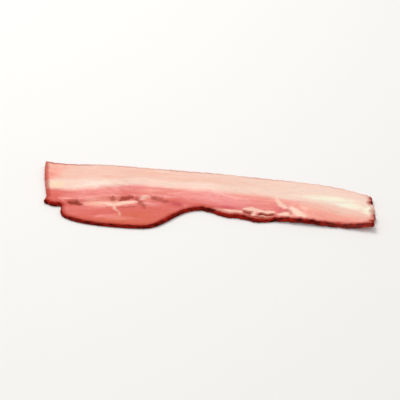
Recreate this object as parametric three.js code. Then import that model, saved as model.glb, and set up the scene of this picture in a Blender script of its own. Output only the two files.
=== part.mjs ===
// A rasher of smoked streaky bacon: one thin slice cut across a cured and smoked pork belly, lying
// loosely on a flat surface. A long strip bows a little towards the skin side, and a rounded lobe
// of lean hangs from the belly side near the left end, parted from the strip by an open fissure.
//
// Millimetres. +X runs along the slice, +Y points to the skin side and +Z up. The origin is the
// middle of the footprint, on the surface that the slice lies on.
import * as THREE from "three";
import {
  mergeGeometries,
  mergeVertices,
} from "three/addons/utils/BufferGeometryUtils.js";

const { lerp, smoothstep } = THREE.MathUtils;

// The slice
const LENGTH = 208;
const THICKNESS = 2.8;
const HALF = LENGTH / 2;

// Its long edges, as offsets from a straight axis, at equal steps from the left end to the right
const SKIN_EDGE = [23.6, 26.4, 29.0, 29.9, 30.0, 29.6, 28.9, 26.0, 17.3];
const BELLY_EDGE = [-13.5, -23.7, -14.0, -7.0, -10.4, -15.8, -15.6, -15.9, -15.7];

// The left end is one slanting, slightly bowed cut. The right end is ragged, and rounded at the
// skin side.
const LEFT_SLANT = 13.4;
const LEFT_BOW = -0.5;
const RIGHT_ROUND = 7;
const RAGGED_END = { reach: 1.2, perRow: 1.5 };
const RAGGED_SIDES = { reach: 0.4 };
const RAGGED_WAVES = [
  { share: 0.5, perMm: 0.83, phase: 0 },
  { share: 0.3, perMm: 1.71, phase: 1.3 },
  { share: 0.2, perMm: 0.37, phase: 2.1 },
];

// The lobe of lean: its lowest place, its reach to either side, and how round its outline is
const LOBE = { at: -47, left: 31.4, right: 36, root: -10, low: -39.8 };
const LOBE_ROUND = { left: 0.155, right: 9, bottom: 0.12 };

// The cleft beside the lobe, the swelling of fat further along the belly edge, and beyond that
// the small torn flap with the crease that it hangs from
const CLEFT = { at: -80.8, half: 2.2, depth: 1.4 };
const SWELLING = { at: 17.5, half: 6, reach: 1.7 };
const FLAP = { at: 38, half: 7.5, reach: 2.6 };
const CREASE = { inset: 2.8, half: 1.2, depth: 0.9 };

// The line of the fissure between the strip and the lobe, as offsets like the long edges'. It
// runs on inside the slice to both ends, because the mesh rows follow it.
const FISSURE_LINE = [-9, -18.8, -12.7, -5.4, -6, -10, -10.2, -10.4, -10.4];

// How far the upper face sinks: the lobe lies a little below the strip, and the fissure is deeper
const LOBE_SINK = 0.5;
const FISSURE = { depth: 1.3, half: 1.7, from: -86, to: -12, fadeIn: 10, fadeOut: 20 };

// How the slice lies: low hills between the places where it touches, and two corners that curl up
const HILLS = [
  { x: -64, y: 8, along: 25, across: 20, height: 6.0 },
  { x: 4, y: 13, along: 27, across: 16, height: 5.2 },
  { x: 64, y: -4, along: 22, across: 15, height: 5.0 },
  { x: -44, y: -29, along: 17, across: 8, height: 2.4 },
  { x: -110, y: 30, along: 17, across: 24, height: 3.6 },
  { x: 108, y: -17, along: 15, across: 14, height: 5.0 },
];
const SETTLE = 0.9;
const SOFTNESS = 1.4;

// The mesh: columns along the slice, which stand closer together near both ends, rows across the
// strip and the lobe, and steps up the edge, which stands proud at mid height as soft meat does
const COLUMNS = 98;
const CROWDING = 0.055;
const STRIP_ROWS = 15;
const LOBE_ROWS = 8;
const EDGE_STEPS = 3;
const EDGE_BULGE = 0.35;

const ROWS = STRIP_ROWS + LOBE_ROWS;
const AROUND = 2 * (COLUMNS + ROWS);

// A smooth line through offsets at equal steps along the slice
function edgeLine(offsets) {
  const stations = offsets.map((_, i) => lerp(-HALF, HALF, i / (offsets.length - 1)));
  const spline = new THREE.CubicInterpolant(stations, offsets, 1, [0]);
  return (x) => spline.evaluate(x)[0];
}

const skinLine = edgeLine(SKIN_EDGE);
const bellyLine = edgeLine(BELLY_EDGE);
const fissureLine = edgeLine(FISSURE_LINE);

// The uneven line that cutting, smoke and drying leave on an edge, within 1 either way
function raggedness(mm) {
  let sum = 0;
  for (const { share, perMm, phase } of RAGGED_WAVES) sum += share * Math.sin(mm * perMm + phase);
  return sum;
}

// A smooth bump of height 1
function bump(x, at, half) {
  return Math.exp(-(((x - at) / half) ** 2));
}

// The share of the lobe's depth at x: blunt at its left end, and drawn out at its right end
function lobeShare(x) {
  const from = (x - LOBE.at) / (x < LOBE.at ? LOBE.left : LOBE.right);
  if (from < 0) return Math.max(0, 1 - from ** 2) ** LOBE_ROUND.left;
  return Math.max(0, 1 - LOBE_ROUND.bottom * from ** 2) / (1 + from ** LOBE_ROUND.right);
}

function upperEdge(x) {
  return skinLine(x) + RAGGED_SIDES.reach * raggedness(x + HALF);
}

// The belly edge with its cleft, swelling and flap, or the lobe's edge where that reaches further
function lowerEdge(x) {
  const cleft = CLEFT.depth * bump(x, CLEFT.at, CLEFT.half);
  const swelling = SWELLING.reach * bump(x, SWELLING.at, SWELLING.half);
  const flap = FLAP.reach * bump(x, FLAP.at, FLAP.half);
  const belly = bellyLine(x) + cleft - swelling - flap + RAGGED_SIDES.reach * raggedness(x);
  return Math.min(belly, lerp(LOBE.root, LOBE.low, lobeShare(x)));
}

// A place in the slice's plan, from shares along it (0 to 1) and across it (0 at the skin side)
function plan(along, across) {
  const row = across * ROWS;
  const rough = RAGGED_END.reach * raggedness(row * RAGGED_END.perRow);
  const down = Math.min(row / STRIP_ROWS, 1);
  const left = -HALF + LEFT_SLANT * down * (1 + LEFT_BOW * (1 - down));
  const right = HALF - RIGHT_ROUND * (1 - across) ** 3 + rough;
  const x = lerp(left, right, along - CROWDING * Math.sin(2 * Math.PI * along));
  const y =
    row <= STRIP_ROWS
      ? lerp(upperEdge(x), fissureLine(x), row / STRIP_ROWS)
      : lerp(fissureLine(x), lowerEdge(x), (row - STRIP_ROWS) / LOBE_ROWS);
  return { x, y };
}

// Height of the lower face: zero where the slice lies flat, and smoothly up from there
function lift(x, y) {
  let free = -SETTLE;
  for (const hill of HILLS) {
    free += hill.height * bump(x, hill.x, hill.along) * bump(y, hill.y, hill.across);
  }
  return free <= 0 ? 0 : free ** 2 / (free + SOFTNESS);
}

// The lobe is sunk, the fissure fades out at both of its ends, and the flap has its crease
function thickness(x, y) {
  const below = fissureLine(x) - y;
  const starts = smoothstep(x, FISSURE.from, FISSURE.from + FISSURE.fadeIn);
  const ends = 1 - smoothstep(x, FISSURE.to - FISSURE.fadeOut, FISSURE.to);
  const sink = LOBE_SINK * smoothstep(below, -FISSURE.half, FISSURE.half);
  const open = FISSURE.depth * bump(below, 0, FISSURE.half);
  const crease = CREASE.depth * bump(y, bellyLine(x) + CREASE.inset, CREASE.half);
  return THICKNESS - (sink + open) * starts * ends - crease * bump(x, FLAP.at, FLAP.half);
}

// A point of the solid: height 1 on the upper face and 0 on the lower one
function point(along, across, height) {
  const { x, y } = plan(along, across);
  return new THREE.Vector3(x, y, lift(x, y) + thickness(x, y) * height);
}

// The upper or the lower face, with both split into triangles alike
function face(height) {
  const grid = new THREE.PlaneGeometry(1, 1, COLUMNS, ROWS);
  const position = grid.getAttribute("position");
  for (let i = 0; i < position.count; i++) {
    const along = 0.5 + position.getX(i);
    const across = 0.5 - position.getY(i);
    position.setXYZ(i, ...point(along, across, height));
  }
  if (height === 0) grid.index.array.reverse();
  return grid;
}

// Shares along and across at a step of the slice's outline, anticlockwise from the lower left
function outline(step) {
  if (step <= COLUMNS) return [step / COLUMNS, 1];
  if (step <= COLUMNS + ROWS) return [1, 1 - (step - COLUMNS) / ROWS];
  if (step <= AROUND - ROWS) return [1 - (step - COLUMNS - ROWS) / COLUMNS, 0];
  return [0, 1 - (AROUND - step) / ROWS];
}

function edgeWall() {
  const grid = new THREE.PlaneGeometry(1, 1, AROUND, EDGE_STEPS);
  const position = grid.getAttribute("position");
  const up = new THREE.Vector3(0, 0, 1);
  for (let i = 0; i < position.count; i++) {
    const step = Math.round((0.5 + position.getX(i)) * AROUND) % AROUND;
    const height = 0.5 + position.getY(i);
    const before = point(...outline((step + AROUND - 1) % AROUND), height);
    const after = point(...outline((step + 1) % AROUND), height);
    const out = after.sub(before).cross(up).normalize();
    const at = point(...outline(step), height);
    at.addScaledVector(out, EDGE_BULGE * Math.sin(Math.PI * height));
    position.setXYZ(i, ...at);
  }
  return grid;
}

function rasher() {
  const shell = mergeGeometries([face(1), face(0), edgeWall()]);
  shell.deleteAttribute("normal");
  shell.deleteAttribute("uv");
  const solid = mergeVertices(shell, 1e-4);
  solid.computeVertexNormals();
  const meat = new THREE.MeshStandardMaterial({
    color: 0xea9a8a,
    roughness: 0.4,
    metalness: 0,
  });
  const mesh = new THREE.Mesh(solid, meat);
  mesh.name = "rasher";
  return mesh;
}

const slice = rasher();
slice.geometry.computeBoundingBox();
const middle = slice.geometry.boundingBox.getCenter(new THREE.Vector3());
slice.position.set(-middle.x, -middle.y, 0);

const part = new THREE.Group();
part.add(slice);

export default part;
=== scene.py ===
# A rasher of smoked streaky bacon, around the frame of its solid model. Metres, +Z up: the slice
# runs along X, its skin side is at +Y, and it lies on the plane z = 0. The slice comes first, from
# its outline to its bands of fat and lean, and then the table, the light and the camera.
import math

import bmesh
import bpy
from mathutils import Matrix, Vector, kdtree, noise


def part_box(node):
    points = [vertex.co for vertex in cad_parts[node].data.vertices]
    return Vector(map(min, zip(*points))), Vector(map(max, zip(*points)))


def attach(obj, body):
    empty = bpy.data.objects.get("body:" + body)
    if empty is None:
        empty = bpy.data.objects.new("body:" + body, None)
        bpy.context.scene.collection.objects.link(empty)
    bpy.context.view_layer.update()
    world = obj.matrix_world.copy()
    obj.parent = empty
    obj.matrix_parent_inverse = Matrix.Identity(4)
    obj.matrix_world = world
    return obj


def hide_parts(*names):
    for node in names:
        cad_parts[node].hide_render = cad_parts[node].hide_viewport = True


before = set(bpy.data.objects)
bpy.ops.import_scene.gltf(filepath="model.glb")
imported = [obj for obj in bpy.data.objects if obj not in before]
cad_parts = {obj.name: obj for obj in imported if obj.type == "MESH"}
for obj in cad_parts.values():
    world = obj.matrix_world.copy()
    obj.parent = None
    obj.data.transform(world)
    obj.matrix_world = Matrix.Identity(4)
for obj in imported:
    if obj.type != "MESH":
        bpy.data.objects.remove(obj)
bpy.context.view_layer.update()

# The rasher is one slice, knife cut across a cured and smoked pork belly, and lies loose on the
# table: a strip of fat and lean with a lobe of lean on its belly side. Sizes are millimetres on a
# straight axis, and lists of them are offsets at equal steps from the left end to the right one.
MM = 0.001
LENGTH = 208.0
HALF = LENGTH / 2
SKIN_EDGE = (23.6, 26.4, 29.0, 29.9, 30.0, 29.6, 28.9, 26.0, 17.3)
BELLY_EDGE = (-13.5, -23.7, -14.0, -7.0, -10.4, -15.8, -15.6, -15.9, -15.7)
FISSURE_LINE = (-9.0, -18.8, -12.7, -5.4, -6.0, -10.0, -10.2, -10.4, -10.4)
LEFT_SLANT, LEFT_BOW = 13.4, -0.5
RIGHT_ROUND = 7.0
RAGGED_END, RAGGED_END_TURNS, RAGGED_SIDES = 1.2, 34.5, 0.4
RAGGED_WAVES = ((0.5, 0.83, 0.0), (0.3, 1.71, 1.3), (0.2, 0.37, 2.1))
LOBE_AT, LOBE_LEFT, LOBE_RIGHT = -47.0, 31.4, 36.0
LOBE_ROOT, LOBE_LOW = -10.0, -39.8
LOBE_ROUND_LEFT, LOBE_ROUND_RIGHT, LOBE_ROUND_BELOW = 0.155, 9, 0.12
CLEFT_AT, CLEFT_HALF, CLEFT_DEPTH = -80.8, 2.2, 1.4
SWELLING_AT, SWELLING_HALF, SWELLING_REACH = 17.5, 6.0, 1.7
FLAP_AT, FLAP_HALF, FLAP_REACH = 38.0, 7.5, 2.6


def lerp(a, b, share):
    return a + (b - a) * share


def smooth(value, low, high):
    share = min(max((value - low) / (high - low), 0.0), 1.0)
    return share * share * (3 - 2 * share)


def bump(value, at, half):
    return math.exp(-(((value - at) / half) ** 2))


def edge_line(offsets):
    """A smooth line through offsets at equal steps along the slice."""
    padded = (2 * offsets[0] - offsets[1], *offsets, 2 * offsets[-1] - offsets[-2])

    def at(x):
        place = min(max((x + HALF) / LENGTH, 0.0), 1.0) * (len(offsets) - 1)
        step = min(int(place), len(offsets) - 2)
        before, start, end, after = padded[step : step + 4]
        share = place - step
        slope_in, slope_out = (end - before) / 2, (after - start) / 2
        curve = 3 * (end - start) - 2 * slope_in - slope_out
        twist = 2 * (start - end) + slope_in + slope_out
        return start + share * (slope_in + share * (curve + share * twist))

    return at


skin_line = edge_line(SKIN_EDGE)
belly_line = edge_line(BELLY_EDGE)
fissure_line = edge_line(FISSURE_LINE)


def raggedness(mm):
    return sum(share * math.sin(mm * per_mm + phase) for share, per_mm, phase in RAGGED_WAVES)


def lobe_share(x):
    if x < LOBE_AT:
        return max(0.0, 1 - ((x - LOBE_AT) / LOBE_LEFT) ** 2) ** LOBE_ROUND_LEFT
    out = (x - LOBE_AT) / LOBE_RIGHT
    return max(0.0, 1 - LOBE_ROUND_BELOW * out**2) / (1 + out**LOBE_ROUND_RIGHT)


def upper_edge(x):
    return skin_line(x) + RAGGED_SIDES * raggedness(x + HALF)


def lower_edge(x):
    cleft = CLEFT_DEPTH * bump(x, CLEFT_AT, CLEFT_HALF)
    swelling = SWELLING_REACH * bump(x, SWELLING_AT, SWELLING_HALF)
    flap = FLAP_REACH * bump(x, FLAP_AT, FLAP_HALF)
    belly = belly_line(x) + cleft - swelling - flap + RAGGED_SIDES * raggedness(x)
    return min(belly, lerp(LOBE_ROOT, LOBE_LOW, lobe_share(x)))


# Soft meat laid down by hand: low hills between the places where it touches, two corners that
# curl up, the lobe a little lower than the strip, and a fissure torn open between them.
THICKNESS = 2.8
HILLS = (
    (-64, 8, 25, 20, 6.0),
    (4, 13, 27, 16, 5.2),
    (64, -4, 22, 15, 5.0),
    (-44, -29, 17, 8, 2.4),
    (-110, 30, 17, 24, 3.6),
    (108, -17, 15, 14, 5.0),
)
SETTLE, SOFTNESS = 0.9, 1.4
LOBE_SINK = 0.5
FISSURE_DEPTH, FISSURE_HALF = 1.3, 1.7
FISSURE_OPENS, FISSURE_CLOSES = (-86, -76), (-32, -12)
CREASE_INSET, CREASE_HALF, CREASE_DEPTH = 2.8, 1.2, 0.9


def lift(x, y):
    free = -SETTLE
    for at_x, at_y, along, across, height in HILLS:
        free += height * bump(x, at_x, along) * bump(y, at_y, across)
    return 0.0 if free <= 0 else free**2 / (free + SOFTNESS)


def thickness(x, y):
    below = fissure_line(x) - y
    open_share = smooth(x, *FISSURE_OPENS) * (1 - smooth(x, *FISSURE_CLOSES))
    sink = LOBE_SINK * smooth(below, -FISSURE_HALF, FISSURE_HALF)
    gap = FISSURE_DEPTH * bump(below, 0, FISSURE_HALF)
    crease = CREASE_DEPTH * bump(y, belly_line(x) + CREASE_INSET, CREASE_HALF)
    return THICKNESS - (sink + gap) * open_share - crease * bump(x, FLAP_AT, FLAP_HALF)


# From the skin side the bands are a line of outer fat, pale lean, the broad band of fat, rose lean,
# and past the fissure the lobe's deep red lean. Seams of fat fork through the lean, torn places
# have dried brown, and painted shade darkens some creases and band edges brown. Seams, torn places
# and patches of painted shade are runs of places, each with its half width there.
PALE_LEAN_END = (
    0.5, 3.5, 4, 4, 8, 14.5, 15, 13, 11, 12, 15.5, 18, 18.5, 18, 17, 15.5, 14.5
)
ROSE_LEAN_START = (
    -12, -6.5, -6, -4.5, 0.5, 6.5, 7.8, 5.8, 5.5, 6, 7.2, 8.3, 5, 2.7, 2, 1.5, -4
)
OUTER_FAT = (1.4, 1.6, 2.2, 3.0, 3.6, 4.2, 5.4, 6.5, 8.0)
FAT_SEAMS = (
    ((43.5, 8, 0.9), (45.5, 2.5, 1.3), (47.7, -1.5, 1.7), (49.8, -3.7, 1.9), (51.5, -6, 1.0)),
    ((54, -5.5, 0.8), (56, -8, 1.5), (59, -10, 2.2), (62, -11.7, 2.2), (64.5, -13, 1.4)),
    ((28.5, -9, 0.8), (32.5, -8.5, 1.7), (38, -10, 1.2), (45.5, -10.5, 1.0)),
    ((49.5, -13, 0.8), (53.5, -12.5, 1.5), (56, -14.5, 0.9)),
    ((11, -13, 0.7), (16.5, -14, 1.8), (22.5, -14, 1.8), (27.5, -12.5, 1.1)),
    ((-54.5, -17, 1.7), (-48.5, -18, 1.6), (-43.5, -14.5, 2.0), (-37, -11.5, 1.5)),
    ((-48.5, -18.5, 1.1), (-45.5, -23.5, 0.6), (-42, -28.5, 0.2), (-40, -32, -0.3)),
    ((-68, -17.5, -0.9), (-59.5, -17.5, 0.1), (-54.5, -17, 1.5)),
    ((-37, -6.5, 0.0), (-34, -5.5, 1.2), (-30.5, -4.5, 0.2)),
    ((30.5, -15.5, 0.9), (35, -15.5, 1.1), (41.5, -16.5, 1.4), (45, -17, 0.9)),
    ((34.5, -10.5, 1.0), (35, -15, 1.2)),
)
# Each torn place and each run of painted shade has its share of brown first, and each patch
# has its reach along and across.
HOLLOWS = (
    (0.8, ((-76, -18.5, 1.4), (-72.3, -19.3, 3.2), (-68.5, -20.5, 1.9))),
    (0.6, ((-52.5, -12, 0.9), (-51, -11, 1.1))),
    (0.7, ((-48, -11, 0.8), (-44.5, -9.5, 1.3), (-40.5, -7, 1.0))),
    (0.6, ((-37.5, -7.5, 0.8), (-34, -11, 1.5), (-31.2, -15, 1.9), (-29.5, -19, 0.4))),
    (0.6, ((-28, -5.5, 1.5), (-24, -6.5, 2.8), (-19.5, -8, 2.0))),
    # Painted shade: the next three runs darken the lean below the fork's arm and on the lobe.
    (0.5, ((-43.5, -19.5, 0.8), (-39.5, -18.5, 1.2), (-36, -16.5, 0.8))),
    (0.4, ((-55, -21.5, 0.7), (-51, -21.5, 1.0))),
    (0.35, ((-67, -22.5, 0.7), (-63, -23, 1.0))),
    (0.35, ((-17, -7, 0.9), (-12, -9.5, 2.0), (-8.5, -13, 2.0))),
    (0.85, ((29, -12, 1.2), (32, -12, 1.4))),
    (0.9, ((38, -12.5, 1.2), (45, -13, 1.5))),
    (0.5, ((52.8, -7.5, 1.0), (55.5, -10.5, 0.6), (57, -14, 0.6))),
    # Painted shade: the next two runs, beside the right fork and along the band's lower edge.
    (0.3, ((59, -4.5, 1.2), (62, -7.5, 1.0))),
    (0.3, ((-60, -3.5, 1.2), (-54, -0.5, 1.8), (-48, 2, 1.2))),
    (0.6, ((82.5, -15, 0.7), (86, -15, 0.8))),
    (0.75, ((31, -15.5, 1.0), (38, -16.5, 1.5), (45, -17, 1.3))),
)
RED_PATCHES = (
    (-97, 9, 7, 13, 0.28),
    (-86, -13, 9, 6, 0.12),
    # Redder lean, partly painted shade that dims the lit side of a hill.
    (-4, 0, 14, 7, 0.15),
    (-30, -26, 15, 8, 0.08),
    (-64, -27, 13, 8, -0.03),
    (-42, -34, 13, 4, 0.04),
    (86, -2, 12, 6, -0.08),
    (-33, 3, 5, 6, -0.06),
    # A peach patch, partly painted light, over the fissure floor and the lobe's top edge.
    (-60, -18.5, 10, 4, -0.4),
    (-62, -8, 8, 5, 0.1),
    # Painted light: paler lean on the fissure's upper wall, against its shade.
    (-61, -14, 10, 2.5, -0.12),
    (-79, -16, 4, 2.5, -0.2),
    (-46, -13, 9, 4, -0.3),
    (-31, -9, 5, 4, -0.12),
    (-26, -13, 6, 4, -0.12),
    (4, -10, 9, 2.5, 0.18),
    (70, 22, 26, 8, -0.14),
)
TINT_PATCHES = {
    "gold": ((-89, -2, 6, 5),),
    # The white patches are whiter fat with a painted highlight on it.
    "white": ((88, 5.5, 11, 5), (74, 10.5, 18, 5), (99, 2, 5, 6)),
    "pink": ((19, -3, 15, 6), (57, 1, 8, 4), (-43, 4, 10, 4)),
    # The third crimson patch is partly painted shade, darkening the lean above the crust there.
    "crimson": ((49.2, -8.7, 3.6, 3.2), (17.5, -9.5, 7.5, 2), (-12, -11, 4.5, 3.5)),
}
PALE_REDNESS, PALE_FADES = 0.24, 0.16
ROSE_REDNESS, ROSE_FADES, ROSE_DEEPENS = 0.6, 0.13, 0.14
RIGHT_REDNESS, RIGHT_DEEPENS = 0.26, 0.22
LOBE_REDNESS, LOBE_DEEPENS = 0.75, 0.12
LOBE_LEAN_FROM, LOBE_LEAN_TO = (-84, -76), (-14, -5)
pale_lean_end = edge_line(PALE_LEAN_END)
rose_lean_start = edge_line(ROSE_LEAN_START)
outer_fat = edge_line(OUTER_FAT)


def wander(x, y, size, seed):
    """Smooth noise from about -1 to 1, with features of that size."""
    return noise.noise(Vector((x / size, y / size, seed)))


def depth_in(x, y, run):
    """How far inside a run of places a point is, in millimetres: less than 0 is outside."""
    deepest = -20.0
    for (ax, ay, a_half), (bx, by, b_half) in zip(run, run[1:]):
        way = Vector((bx - ax, by - ay))
        share = min(max(Vector((x - ax, y - ay)).dot(way) / way.length_squared, 0.0), 1.0)
        gap = math.hypot(x - lerp(ax, bx, share), y - lerp(ay, by, share))
        deepest = max(deepest, lerp(a_half, b_half, share) - gap)
    return deepest


def patch_share(x, y, patch):
    at_x, at_y, along, across = patch
    return bump(x, at_x, along) * bump(y, at_y, across)


def band_depth(x, y):
    outer = outer_fat(x) - (skin_line(x) - y) + 1.2 * wander(x, y, 8, 3.5)
    y += 1.1 * wander(x, y, 13, 1.5) + 0.5 * wander(x, y, 4, 2.5)
    return max(outer, min(pale_lean_end(x) - y, y - rose_lean_start(x)))


def seam_depth(x, y):
    at_x = x + 0.9 * wander(x, y, 6, 4.5) + 0.5 * wander(x, y, 2, 5.5)
    at_y = y + 0.9 * wander(x, y, 6, 6.5) + 0.5 * wander(x, y, 2, 7.5)
    return max(depth_in(at_x, at_y, seam) for seam in FAT_SEAMS)


def lean_redness(x, y):
    """0 for the palest lean to 1 for the reddest."""
    below_band = rose_lean_start(x) - y
    pale = PALE_REDNESS - PALE_FADES * smooth(x, -40, 80)
    rose = ROSE_REDNESS - ROSE_FADES * smooth(x, -50, 0) + ROSE_DEEPENS * smooth(below_band, 2, 14)
    at_right = RIGHT_REDNESS + RIGHT_DEEPENS * smooth(below_band, 1, 15)
    red = lerp(pale, lerp(rose, at_right, smooth(x, 50, 64)), smooth(below_band, -4, 0))
    in_lobe = smooth(fissure_line(x) - y, -2, 2)
    in_lobe *= smooth(x, *LOBE_LEAN_FROM) * (1 - smooth(x, *LOBE_LEAN_TO))
    red = lerp(red, LOBE_REDNESS + LOBE_DEEPENS * smooth(-y, 31, 40), in_lobe)
    for *patch, more in RED_PATCHES:
        red += more * patch_share(x, y, patch)
    return red


def hollow_share(x, y):
    """How brown a place is from 0 to 1, for torn and dried places and for painted shade."""
    at_x = x + 1.6 * wander(x, y, 3, 9.5)
    at_y = y + 1.4 * wander(x, y, 3, 10.5)
    return max(share * smooth(depth_in(at_x, at_y, run), -1.7, 1.1) for share, run in HOLLOWS)


# The slice's body is a slab raised from a grid, whose points are carried to their places. The
# faces get their relief: fat stands a little proud, and torn places and patches of painted shade
# sink. Smoke and drying left the edge hard and rough.
COLUMNS, STRIP_ROWS, LOBE_ROWS = 340, 60, 32
STRIP_SHARE = 15 / 23
ROWS = STRIP_ROWS + LOBE_ROWS
EDGE_CUTS, RIM_STEPS = 5, 1200
EDGE_BULGE, EDGE_ROUGHNESS = 0.42, 0.3
EDGE_DROOP, DROOP_WIDTH = 0.3, 1.6
FAT_PROUD, HOLLOW_SINK, FLAP_ROUGHNESS = 0.14, 0.55, 0.7
SKIN_SMOKE, LEFT_SMOKE, RIGHT_SMOKE, BELLY_SMOKE = 0.44, 0.55, 0.32, 1.0
RIGHT_SMOKE_SPOTS = ((1.0, 15, 5), (0.9, -4, 3), (0.85, -14, 5))
THIN_CRUST_AT, THIN_CRUST_HALF, THIN_CRUST_SHARE = 62, 16, 0.9


def plan(along, across):
    """A place in the slice's plan: along from the left end, across from the skin side, 0 to 1."""
    down = min(across / STRIP_SHARE, 1.0)
    left = -HALF + LEFT_SLANT * down * (1 + LEFT_BOW * (1 - down))
    rough = RAGGED_END * raggedness(RAGGED_END_TURNS * across)
    x = lerp(left, HALF - RIGHT_ROUND * (1 - across) ** 3 + rough, along)
    if across <= STRIP_SHARE:
        return x, lerp(upper_edge(x), fissure_line(x), down)
    return x, lerp(fissure_line(x), lower_edge(x), (across - STRIP_SHARE) / (1 - STRIP_SHARE))


def smoke_at(x, y, along, across):
    """How much smoked crust the outline has there: 0 for none, 1 for a full crust."""
    if across >= 1:
        return BELLY_SMOKE - 0.28 * smooth(x, 30, 90)
    if along >= 1:
        dark = max(share * bump(y, at, half) for share, at, half in RIGHT_SMOKE_SPOTS)
        return max(dark, RIGHT_SMOKE + 0.3 * wander(x, y, 5, 8.5))
    if across <= 0:
        return SKIN_SMOKE - 0.14 * smooth(x, -70, -40) + 0.2 * wander(x, y, 20, 8.5)
    return LEFT_SMOKE


slab = bmesh.new()
bmesh.ops.create_grid(slab, x_segments=COLUMNS, y_segments=ROWS, size=0.5)
raised = bmesh.ops.extrude_face_region(slab, geom=slab.faces[:], use_keep_orig=True)
upper_points = [item for item in raised["geom"] if isinstance(item, bmesh.types.BMVert)]
bmesh.ops.translate(slab, verts=upper_points, vec=(0, 0, 1))
uprights = [edge for edge in slab.edges if edge.verts[0].co.z != edge.verts[1].co.z]
bmesh.ops.subdivide_edges(slab, edges=uprights, cuts=EDGE_CUTS, use_grid_fill=True)
bmesh.ops.recalc_face_normals(slab, faces=slab.faces[:])

rim_points = kdtree.KDTree(4 * RIM_STEPS)
rim_smoke = []
for step in range(RIM_STEPS):
    share = step / RIM_STEPS
    for along, across in ((share, 1.0), (1.0, share), (1 - share, 0.0), (0.0, 1 - share)):
        x, y = plan(along, across)
        rim_points.insert((x, y, 0), len(rim_smoke))
        rim_smoke.append(smoke_at(x, y, along, across))
rim_points.balance()

layers = slab.verts.layers
redness, band, seam = (layers.float.new(name) for name in ("redness", "band", "seam"))
rim, smoke, hollow = (layers.float.new(name) for name in ("rim", "smoke", "hollow"))
tints = {name: layers.float.new(name) for name in TINT_PATCHES}
grain = layers.float_vector.new("grain")

wall_points = []
for point in slab.verts:
    along, height = point.co.x + 0.5, 0.5 - 0.5 * math.cos(math.pi * point.co.z)
    row = (0.5 - point.co.y) * ROWS
    across = row / STRIP_ROWS * STRIP_SHARE
    if row > STRIP_ROWS:
        across = lerp(STRIP_SHARE, 1.0, (row - STRIP_ROWS) / LOBE_ROWS)
    x, y = plan(along, across)
    _, nearest, to_rim = rim_points.find((x, y, 0))
    on_wall = 0.001 < height < 0.999
    point[redness] = lean_redness(x, y)
    point[band] = band_depth(x, y)
    point[seam] = seam_depth(x, y)
    thin_crust = THIN_CRUST_SHARE * bump(x, THIN_CRUST_AT, THIN_CRUST_HALF)
    point[rim] = 0.0 if on_wall else to_rim * (1 + thin_crust)
    point[smoke] = rim_smoke[nearest]
    point[hollow] = 0.0 if height < 0.5 else hollow_share(x, y)
    for name, tint in tints.items():
        point[tint] = max(patch_share(x, y, patch) for patch in TINT_PATCHES[name])
    across_grain = y - 0.5 * (skin_line(x) + belly_line(x)) + 2.0 * wander(x, y, 24, 14.5)
    point[grain] = Vector((x, across_grain, height * THICKNESS))
    fat = smooth(max(point[band], point[seam]), -0.6, 0.9)
    relief = FAT_PROUD * fat - HOLLOW_SINK * point[hollow]
    relief += 0.2 * wander(x / 8, across_grain, 4, 11.5) + 0.12 * wander(x / 2, y, 2.4, 12.5)
    torn = bump(x, FLAP_AT, 10) * bump(y, belly_line(x) + 1, 4)
    relief += FLAP_ROUGHNESS * torn * wander(x, y, 2.2, 13.5)
    droop = EDGE_DROOP * (1 - smooth(to_rim, 0, DROOP_WIDTH))
    top = thickness(x, y) + relief - droop
    point.co = Vector((x, y, lift(x, y) + top * height)) * MM
    if on_wall:
        wall_points.append((point, height))

slab.normal_update()
for point, height in wall_points:
    out = Vector((point.normal.x, point.normal.y, 0)).normalized()
    x, y, z = point.co / MM
    rough = EDGE_ROUGHNESS * noise.noise(Vector((x / 2.4, y / 2.4, z / 1.5)))
    point.co += out * MM * (EDGE_BULGE + rough) * (1 - abs(2 * height - 1) ** 3)

mesh = bpy.data.meshes.new("rasher_meat")
slab.to_mesh(mesh)
slab.free()
mesh.shade_smooth()

low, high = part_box("rasher")
for axis in (0, 1):
    places = [vertex.co[axis] for vertex in mesh.vertices]
    shift = (low[axis] + high[axis] - min(places) - max(places)) / 2
    for vertex in mesh.vertices:
        vertex.co[axis] += shift
rasher = bpy.data.objects.new("rasher_meat", mesh)
bpy.context.scene.collection.objects.link(rasher)


# Its surface is cured pork, moist on the cut faces: cream fat, lean from pale pink to salmon red
# with a fine grain along the slice, and a dark red-brown smoked crust on the outer sides.
class Wire:
    """A shader socket that can be used in sums."""

    def __init__(self, socket):
        self.socket = socket

    @staticmethod
    def node(tree, kind, settings, inputs, output=0):
        """One output of a new node, whose settings come first, a ramp's stops among them."""
        made = tree.nodes.new(kind)
        for name, value in settings.items():
            if name != "stops":
                setattr(made, name, value)
                continue
            stops = made.color_ramp.elements
            while len(stops) < len(value):
                stops.new(1.0)
            for stop, (place, colour) in zip(stops, value):
                stop.position = place
                stop.color = colour
        for name, value in inputs.items():
            if isinstance(value, Wire):
                tree.links.new(value.socket, made.inputs[name])
            else:
                made.inputs[name].default_value = value
        return Wire(made.outputs[output]) if len(made.outputs) else None

    def math(self, operation, *values):
        inputs = dict(enumerate(values))
        return Wire.node(self.socket.id_data, "ShaderNodeMath", {"operation": operation}, inputs)

    def __add__(self, other):
        return self.math("ADD", self, other)

    def __radd__(self, other):
        return self.math("ADD", other, self)

    def __sub__(self, other):
        return self.math("SUBTRACT", self, other)

    def __rsub__(self, other):
        return self.math("SUBTRACT", other, self)

    def __mul__(self, other):
        return self.math("MULTIPLY", self, other)

    def __rmul__(self, other):
        return self.math("MULTIPLY", other, self)


def rgb(red, green, blue):
    """A colour as seen on a screen, made linear for the shader."""
    return tuple(((c / 255 + 0.055) / 1.055) ** 2.4 for c in (red, green, blue)) + (1.0,)


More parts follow.
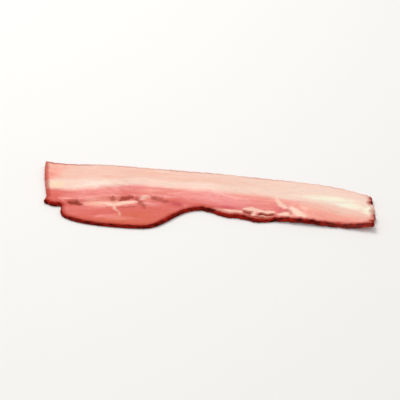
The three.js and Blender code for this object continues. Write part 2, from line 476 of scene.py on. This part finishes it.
LEAN_COLOURS = (
    (0.0, rgb(249, 218, 200)),
    (0.25, rgb(249, 196, 175)),
    (0.45, rgb(252, 168, 149)),
    (0.6, rgb(233, 127, 117)),
    (0.75, rgb(224, 98, 86)),
    (0.88, rgb(218, 100, 68)),
    (1.0, rgb(182, 70, 50)),
)
FAT_CREAM = rgb(251, 215, 197)
FAT_WHITE_AND_HIGHLIGHT = rgb(255, 247, 222)
FAT_GOLD = rgb(254, 220, 176)
FAT_PINK = rgb(248, 202, 190)
SEAM_PINK = rgb(254, 210, 188)
DRY_TAN = rgb(212, 158, 136)
LEAN_PINK = rgb(250, 158, 164)
LEAN_CRIMSON_AND_SHADE = rgb(212, 78, 84)
TORN_BROWN_AND_SHADE = rgb(150, 54, 34)
CRUST_DARK = rgb(72, 4, 1)
CRUST_RED = rgb(176, 34, 18)
RIM_RED = rgb(186, 66, 52)

meat = bpy.data.materials.new("smoked_meat")
meat.use_nodes = True
tree = meat.node_tree
tree.nodes.clear()


def attribute(name, output="Fac"):
    return Wire.node(tree, "ShaderNodeAttribute", {"attribute_name": name}, {}, output)


def cloud(along, across, detail=3.0, seed=0.0):
    """Noise from about -1 to 1, with features of that size in millimetres."""
    place = Wire.node(
        tree,
        "ShaderNodeVectorMath",
        {"operation": "MULTIPLY_ADD"},
        {0: attribute("grain", "Vector"), 1: (1 / along, 1 / across, 1 / across), 2: (0, 0, seed)},
    )
    inputs = {"Vector": place, "Scale": 1.0, "Detail": detail, "Roughness": 0.55}
    return (Wire.node(tree, "ShaderNodeTexNoise", {}, inputs) - 0.5) * 2.6


def rise(value, low, high):
    """0 below low, 1 above high, and smooth between."""
    inputs = {"Value": value, "From Min": low, "From Max": high}
    settings = {"interpolation_type": "SMOOTHSTEP"}
    return Wire.node(tree, "ShaderNodeMapRange", settings, inputs)


def mix(share, first, second):
    inputs = {"Factor": share, 6: first, 7: second}
    return Wire.node(tree, "ShaderNodeMix", {"data_type": "RGBA"}, inputs, 2)


broad = cloud(11, 7)
fibres = cloud(12, 0.8, 4.0)
speckle = cloud(1.3, 0.9, 2.0)
streaks = cloud(45, 2.6, 3.0, 7.0)
veins = cloud(13, 3.5, 3.0, 11.0)

lean_share = attribute("redness") + 0.08 * broad + 0.09 * fibres + 0.06 * speckle - 0.1 * streaks
lean = Wire.node(tree, "ShaderNodeValToRGB", {"stops": LEAN_COLOURS}, {"Fac": lean_share})

fat = mix(rise(cloud(14, 1.8, 3.0, 9.0), -0.3, 1.0) * 0.7, FAT_CREAM, FAT_PINK)
smear = 0.3 * cloud(9, 3, 3.0, 5.0)
# Whiter fat at the right end, with a painted highlight.
fat = mix(rise(attribute("white") + smear, 0.1, 1.0), fat, FAT_WHITE_AND_HIGHLIGHT)
fat = mix(rise(attribute("gold") + smear, 0.1, 1.2) * 0.8, fat, FAT_GOLD)

edge_noise = 0.6 * cloud(5, 1.6) + 0.25 * speckle
band_share = rise(attribute("band") + 1.6 * edge_noise, -3.6, 2.4)
seam_share = rise(attribute("seam") + edge_noise, -1.0, 0.9) * 0.85
vein_share = (1 - rise(veins.math("ABSOLUTE", veins), 0.0, 0.14)) * rise(broad, -0.3, 0.7)
vein_share *= 1 - rise(attribute("redness"), 0.62, 0.74)
lean = mix(attribute("pink") * 0.4, lean, LEAN_PINK)
# Crimson lean, and beside the lobe's right end partly painted shade.
lean = mix(attribute("crimson") * 0.9, lean, LEAN_CRIMSON_AND_SHADE)
face = mix(vein_share * 0.3, lean, FAT_PINK)
face = mix(band_share, face, fat)
face = mix(seam_share, face, SEAM_PINK)
dry_share = rise(cloud(8, 4, 2.0, 21.0), 0.0, 1.0) * (1 - rise(attribute("redness"), 0.3, 0.55))
face = mix(dry_share * 0.3, face, DRY_TAN)
# Torn, dried places go brown, and so do the patches of painted shade.
torn_and_shade_share = rise(attribute("hollow") + 0.12 * speckle, 0.12, 0.95)
face = mix(torn_and_shade_share, face, TORN_BROWN_AND_SHADE)

crust_reach = attribute("rim") + 0.5 * cloud(3.5, 3.5)
rim_tint = (1 - rise(crust_reach, 1.0, 3.4)) * rise(attribute("smoke"), 0.15, 0.45)
face = mix(rim_tint * 0.75, face, RIM_RED)
crust_blotches = rise(cloud(6, 2.5, 3.0, 3.0) + 0.5 * speckle, -0.6, 0.7)
crust_colour = mix(crust_blotches, CRUST_DARK, CRUST_RED)
crust_share = (1 - rise(crust_reach, 0.1, 1.2)) * rise(attribute("smoke"), 0.45, 0.8)
colour = mix(crust_share, face, crust_colour)

height = 0.6 * fibres + 0.5 * speckle + 0.3 * broad
bump_inputs = {"Height": height, "Strength": 0.6, "Distance": 0.00045}
relief = Wire.node(tree, "ShaderNodeBump", {}, bump_inputs)
wet_share = rise(crust_reach, 0.8, 2.6) * (1 - torn_and_shade_share)
wet_share *= 1 - 0.7 * rise(attribute("redness"), 0.78, 0.92)
skin = Wire.node(
    tree,
    "ShaderNodeBsdfPrincipled",
    {},
    {
        "Base Color": colour,
        "Roughness": 0.42 + 0.07 * broad + 0.05 * fibres + 0.3 * crust_share,
        "Normal": relief,
        "Specular IOR Level": 0.05,
        "Subsurface Weight": 0.12,
        "Subsurface Radius": (1.0, 0.4, 0.25),
        "Subsurface Scale": 0.002,
        "Coat Weight": wet_share * (0.5 + 0.15 * broad),
        "Coat Roughness": 0.24,
    },
)
Wire.node(tree, "ShaderNodeOutputMaterial", {}, {"Surface": skin})

mesh.materials.append(meat)
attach(rasher, "root")
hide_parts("rasher")

# The table is a plain painted top, far wider than the slice. The slice lies loose on it, and it
# is only there to catch the slice's shadow.
TABLE_HALF = 4.0
table_mesh = bpy.data.meshes.new("table")
table_shape = bmesh.new()
bmesh.ops.create_grid(table_shape, x_segments=1, y_segments=1, size=TABLE_HALF)
table_shape.to_mesh(table_mesh)
table_shape.free()
table = bpy.data.objects.new("table", table_mesh)
bpy.context.scene.collection.objects.link(table)
paint = bpy.data.materials.new("pale_paint")
paint.use_nodes = True
finish = paint.node_tree.nodes["Principled BSDF"].inputs
finish["Base Color"].default_value = rgb(242, 241, 239)
finish["Roughness"].default_value = 0.6
table_mesh.materials.append(paint)

# The light is soft: two broad lamps with white cloth in front of them, in a pale room. The strong
# one stands behind the slice on the left, and the weak one in front fills the shadows.
middle = (low + high) / 2


def direction(azimuth, elevation):
    """The way from the slice to a place around it: azimuth 0 is in front, 90 at the right."""
    turn, climb = math.radians(azimuth), math.radians(elevation)
    flat = math.cos(climb)
    return Vector((math.sin(turn) * flat, -math.cos(turn) * flat, math.sin(climb)))


def softbox(name, azimuth, elevation, distance, size, power, colour):
    data = bpy.data.lights.new(name, "AREA")
    data.energy = power
    data.size = size
    data.color = colour
    lamp = bpy.data.objects.new(name, data)
    bpy.context.scene.collection.objects.link(lamp)
    way = direction(azimuth, elevation)
    lamp.location = middle + way * distance
    lamp.rotation_euler = way.to_track_quat("Z", "Y").to_euler()


KEY_WHITE, FILL_WHITE = (1.0, 0.97, 0.93), (1.0, 0.98, 0.96)
softbox("key_light", -140, 58, distance=1.2, size=0.7, power=8.0, colour=KEY_WHITE)
softbox("fill_light", 35, 42, distance=1.5, size=1.0, power=3.6, colour=FILL_WHITE)
room = bpy.data.worlds.new("room")
room.use_nodes = True
room.node_tree.nodes["Background"].inputs["Color"].default_value = (0.97, 0.98, 1.0, 1.0)
room.node_tree.nodes["Background"].inputs["Strength"].default_value = 0.55
bpy.context.scene.world = room
bpy.context.scene.view_settings.view_transform = "Standard"

# The camera looks down on the slice from in front and a little to the right, turned slightly on
# its own axis. It stands a metre away with a long lens, so that both ends are at nearly one scale.
AZIMUTH, ELEVATION, ROLL = 15.0, 29.0, -2.0
DISTANCE = 1.03
FOCAL_LENGTH, SENSOR_WIDTH = 158.0, 36.0
back = direction(AZIMUTH, ELEVATION)
level = Vector((-back.y, back.x, 0)).normalized()
tilt = math.radians(ROLL)
right = level * math.cos(tilt) + back.cross(level) * math.sin(tilt)
lens = bpy.data.cameras.new("camera")
lens.lens = FOCAL_LENGTH
lens.sensor_width = SENSOR_WIDTH
camera = bpy.data.objects.new("camera", lens)
bpy.context.scene.collection.objects.link(camera)
camera.location = middle + back * DISTANCE
camera.rotation_euler = Matrix((right, back.cross(right), back)).transposed().to_euler()
bpy.context.scene.camera = camera
